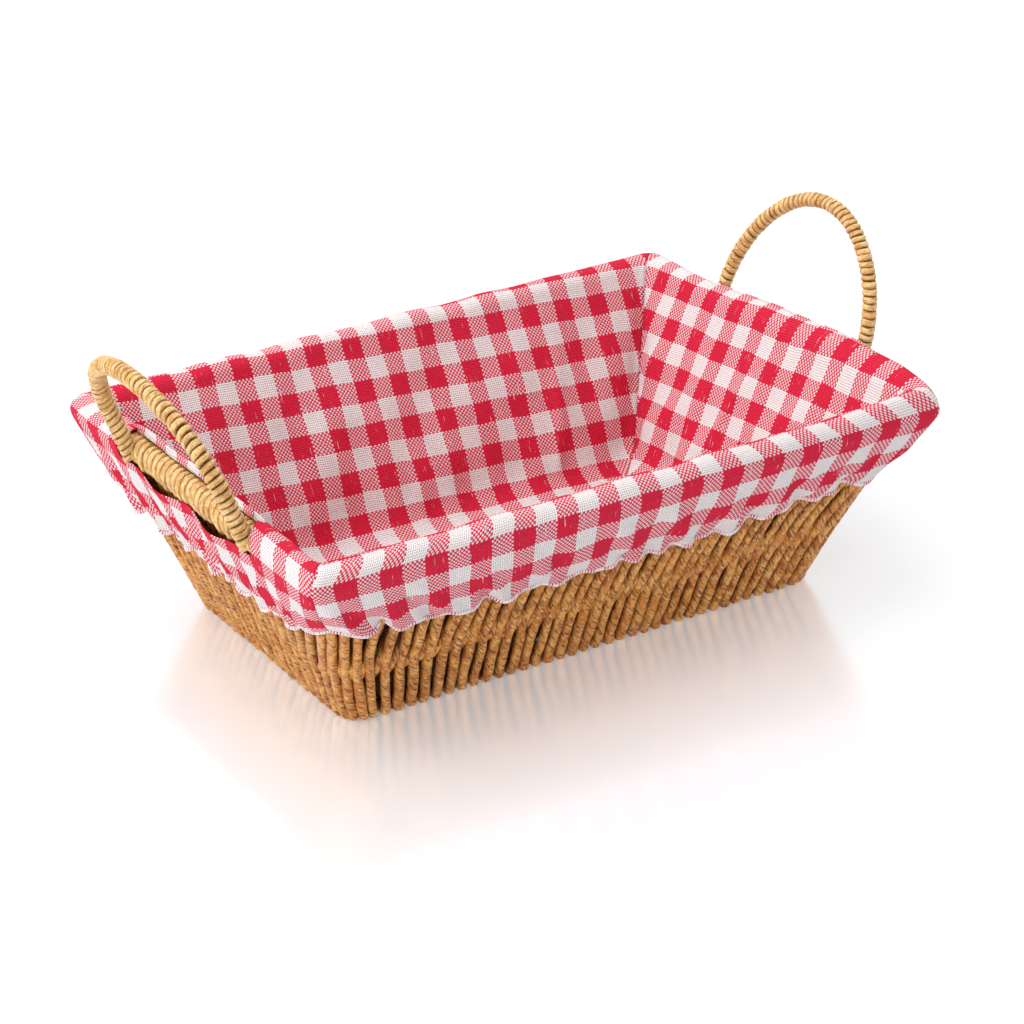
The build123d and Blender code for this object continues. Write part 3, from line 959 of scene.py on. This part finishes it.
def end_panel(k, name):
    """End panel with its slit, and the slit's inner edge. The flap outside the slit sags and waves
    between the handle's legs, by the square of its share of the skirt's height, and blends back
    into the cloth at the slit's ends by 1 - (u / half)^4."""
    points, cu, cv = panel_grid(k, end_marks)
    points = soften(k, points, cu, cv, liner_draw)
    slit_row = slit_rows[k]
    row = np.arange(len(profile))[:, None]
    middle = np.clip(1 - (cu / slit_half) ** 4, 0, 1)
    outward = 1.0 if k == 1 else -1.0
    flap = np.clip(row / flap_row, 0, 1) ** 2 * (row <= flap_row) * middle
    wave = ripples(cu, 0 * cu, liner_draw, 3, 34.0)
    drop = flap * (4.0 + 0.4 * wave if k == 1 else 0.9 + 0.8 * wave)
    points[..., 2] -= drop
    points[..., 0] += outward * (flap * (0.9 + 1.2 * wave) - drop * math.tan(wall_lean))
    hole = np.abs(cu) < slit_half
    cell = np.ones((len(profile) - 1, len(end_marks) - 1), bool)
    cell[flap_row:slit_row] = ~hole[flap_row:slit_row, :-1] | ~hole[flap_row:slit_row, 1:]
    hem_points[k] = points[0]
    panel = cloth_piece(name, sheet_mesh(points, *check_place(k, cu, cv), cell), cloth_finish)
    return panel, points[slit_row], cu[slit_row]


for k, side_name in ((1, "right"), (3, "left")):
    panel, edge_points, edge_u = end_panel(k, f"liner_end_{side_name}")
    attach(panel, "liner")
    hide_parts(f"liner_{side_name}")
    edge_line = edge_points[np.abs(edge_u) < slit_half + 1.5]
    edge_side = np.broadcast_to((0, 0, 1.0), edge_line.shape)
    edge_half, edge_drop = (1.4, 0.8) if k == 1 else (2.4, 1.0)    # of the turned edge
    edge_line = edge_line - (0, 0, edge_drop)
    edge_shape, edge_faces, edge_place = closed_tube(edge_line, edge_side, edge_half, 0.8, 10)
    edge_place = np.stack([edge_place[:, 1], edge_place[:, 0] * slit_edge_round + check], -1)
    edge = make_piece(f"slit_binding_{side_name}", edge_shape, edge_faces, edge_place, cloth_finish)
    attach(edge, "liner")
    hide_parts(f"slit_edge_{side_name}")

hem_loop = np.concatenate([hem_points[k] for k in (0, 1, 2, 3)])
hem_loop = np.concatenate([hem_loop, hem_loop[:1]])
hem_side = np.broadcast_to((0, 0, 1.0), hem_loop.shape)
hem_half = (1.1, 0.8)                     # half height and half thickness of the rolled hem
stitch_length = 1.4


def overlock(name):
    """Overlocked edge: pink and white stitches side by side along the hem, each a wave of the sine
    of 2 pi * length / stitch_length, and whiter in patches."""
    f = Finish(name)
    u, v, _ = f.uv()
    stitch = ((v * (2 * math.pi / stitch_length)) + u * 3).sin()
    patch = f.noise(f.vector(v * 0.12, 0.0, 0.0), 1.0, 2.0).step(0.42, 0.58)
    pink = f.mix(stitch.step(-0.2, 0.4), (0.62, 0.10, 0.16), (0.9, 0.78, 0.78))
    f.set(base_color=f.mix(patch * 0.8, pink, (0.92, 0.88, 0.87)), roughness=0.85,
          specular_ior_level=0.25)
    f.bump(stitch, 0.6, 0.0005)
    return f.material


hem_finish = overlock("overlocked_hem")
hem_mesh = closed_tube(hem_loop, hem_side, *hem_half, 8)
hem = make_piece("hem_roll", *hem_mesh, hem_finish)
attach(hem, "liner")
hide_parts("hem_elastic")


# ---------------------------------------------------------------- table and light
# A white glossy table top in a bright studio: one large soft source above, a weaker one on each
# side, and a white surround.

def table_top():
    """Polished white top: a slightly cloudy gloss, and a faint glow that stands in for the light
    thrown back by the rest of a white studio."""
    f = Finish("white_table")
    haze = f.noise(f.object_place(), 2.0, 2.0)
    f.set(base_color=f.mix(haze, (0.85, 0.88, 0.915), (0.87, 0.90, 0.935)),
          roughness=haze * 0.04 + 0.19, metallic=0.46, specular_ior_level=0.8,
          emission_color=(1.0, 0.99, 0.985), emission_strength=0.25)
    return f.material


bpy.ops.mesh.primitive_plane_add(size=12.0, location=(0, 0, 0))
table = bpy.context.object
table.name = "table"
table.data.materials.append(table_top())


def area_light(name, place, target, size, power):
    """Square soft light of a size in metres and a power in watts, turned to a target."""
    data = bpy.data.lights.new(name, "AREA")
    data.shape = "SQUARE"
    data.size = size
    data.energy = power
    lamp = bpy.data.objects.new(name, data)
    lamp.location = place
    lamp.rotation_mode = "QUATERNION"
    lamp.rotation_quaternion = (Vector(target) - Vector(place)).to_track_quat("-Z", "Y")
    bpy.context.scene.collection.objects.link(lamp)


area_light("overhead_soft", (-0.5, 0.35, 1.3), (0, 0, 0.05), 1.6, 21.0)
area_light("left_fill", (-1.5, -0.6, 0.8), (0, 0, 0.05), 0.8, 8.0)
area_light("right_fill", (1.5, 0.2, 0.9), (0, 0, 0.0), 1.0, 7.0)
world = bpy.data.worlds.new("white_surround")
world.use_nodes = True
world.node_tree.nodes["Background"].inputs["Color"].default_value = (1, 1, 1, 1)
world.node_tree.nodes["Background"].inputs["Strength"].default_value = 0.68
bpy.context.scene.world = world
bpy.context.scene.view_settings.view_transform = "Standard"

# The camera: to the left of straight ahead, above the rim, and tipped a little.
azimuth = math.radians(-31.69)
elevation = math.radians(25.29)
tip = math.radians(-1.11)
aim = Vector((0, 0, 0.05))
distance = 1.4614
to_camera = Vector((math.sin(azimuth) * math.cos(elevation),
                    -math.cos(azimuth) * math.cos(elevation), math.sin(elevation)))
camera_data = bpy.data.cameras.new("camera")
camera_data.sensor_width = 36.0
camera_data.lens = 112.03
camera_data.shift_x = 0.0082
camera_data.shift_y = -0.0187
camera = bpy.data.objects.new("camera", camera_data)
camera.rotation_mode = "QUATERNION"
camera.location = aim + to_camera * distance
camera.rotation_quaternion = ((-to_camera).to_track_quat("-Z", "Y").to_matrix()
                              @ Matrix.Rotation(tip, 3, "Z")).to_quaternion()
bpy.context.scene.collection.objects.link(camera)
bpy.context.scene.camera = camera
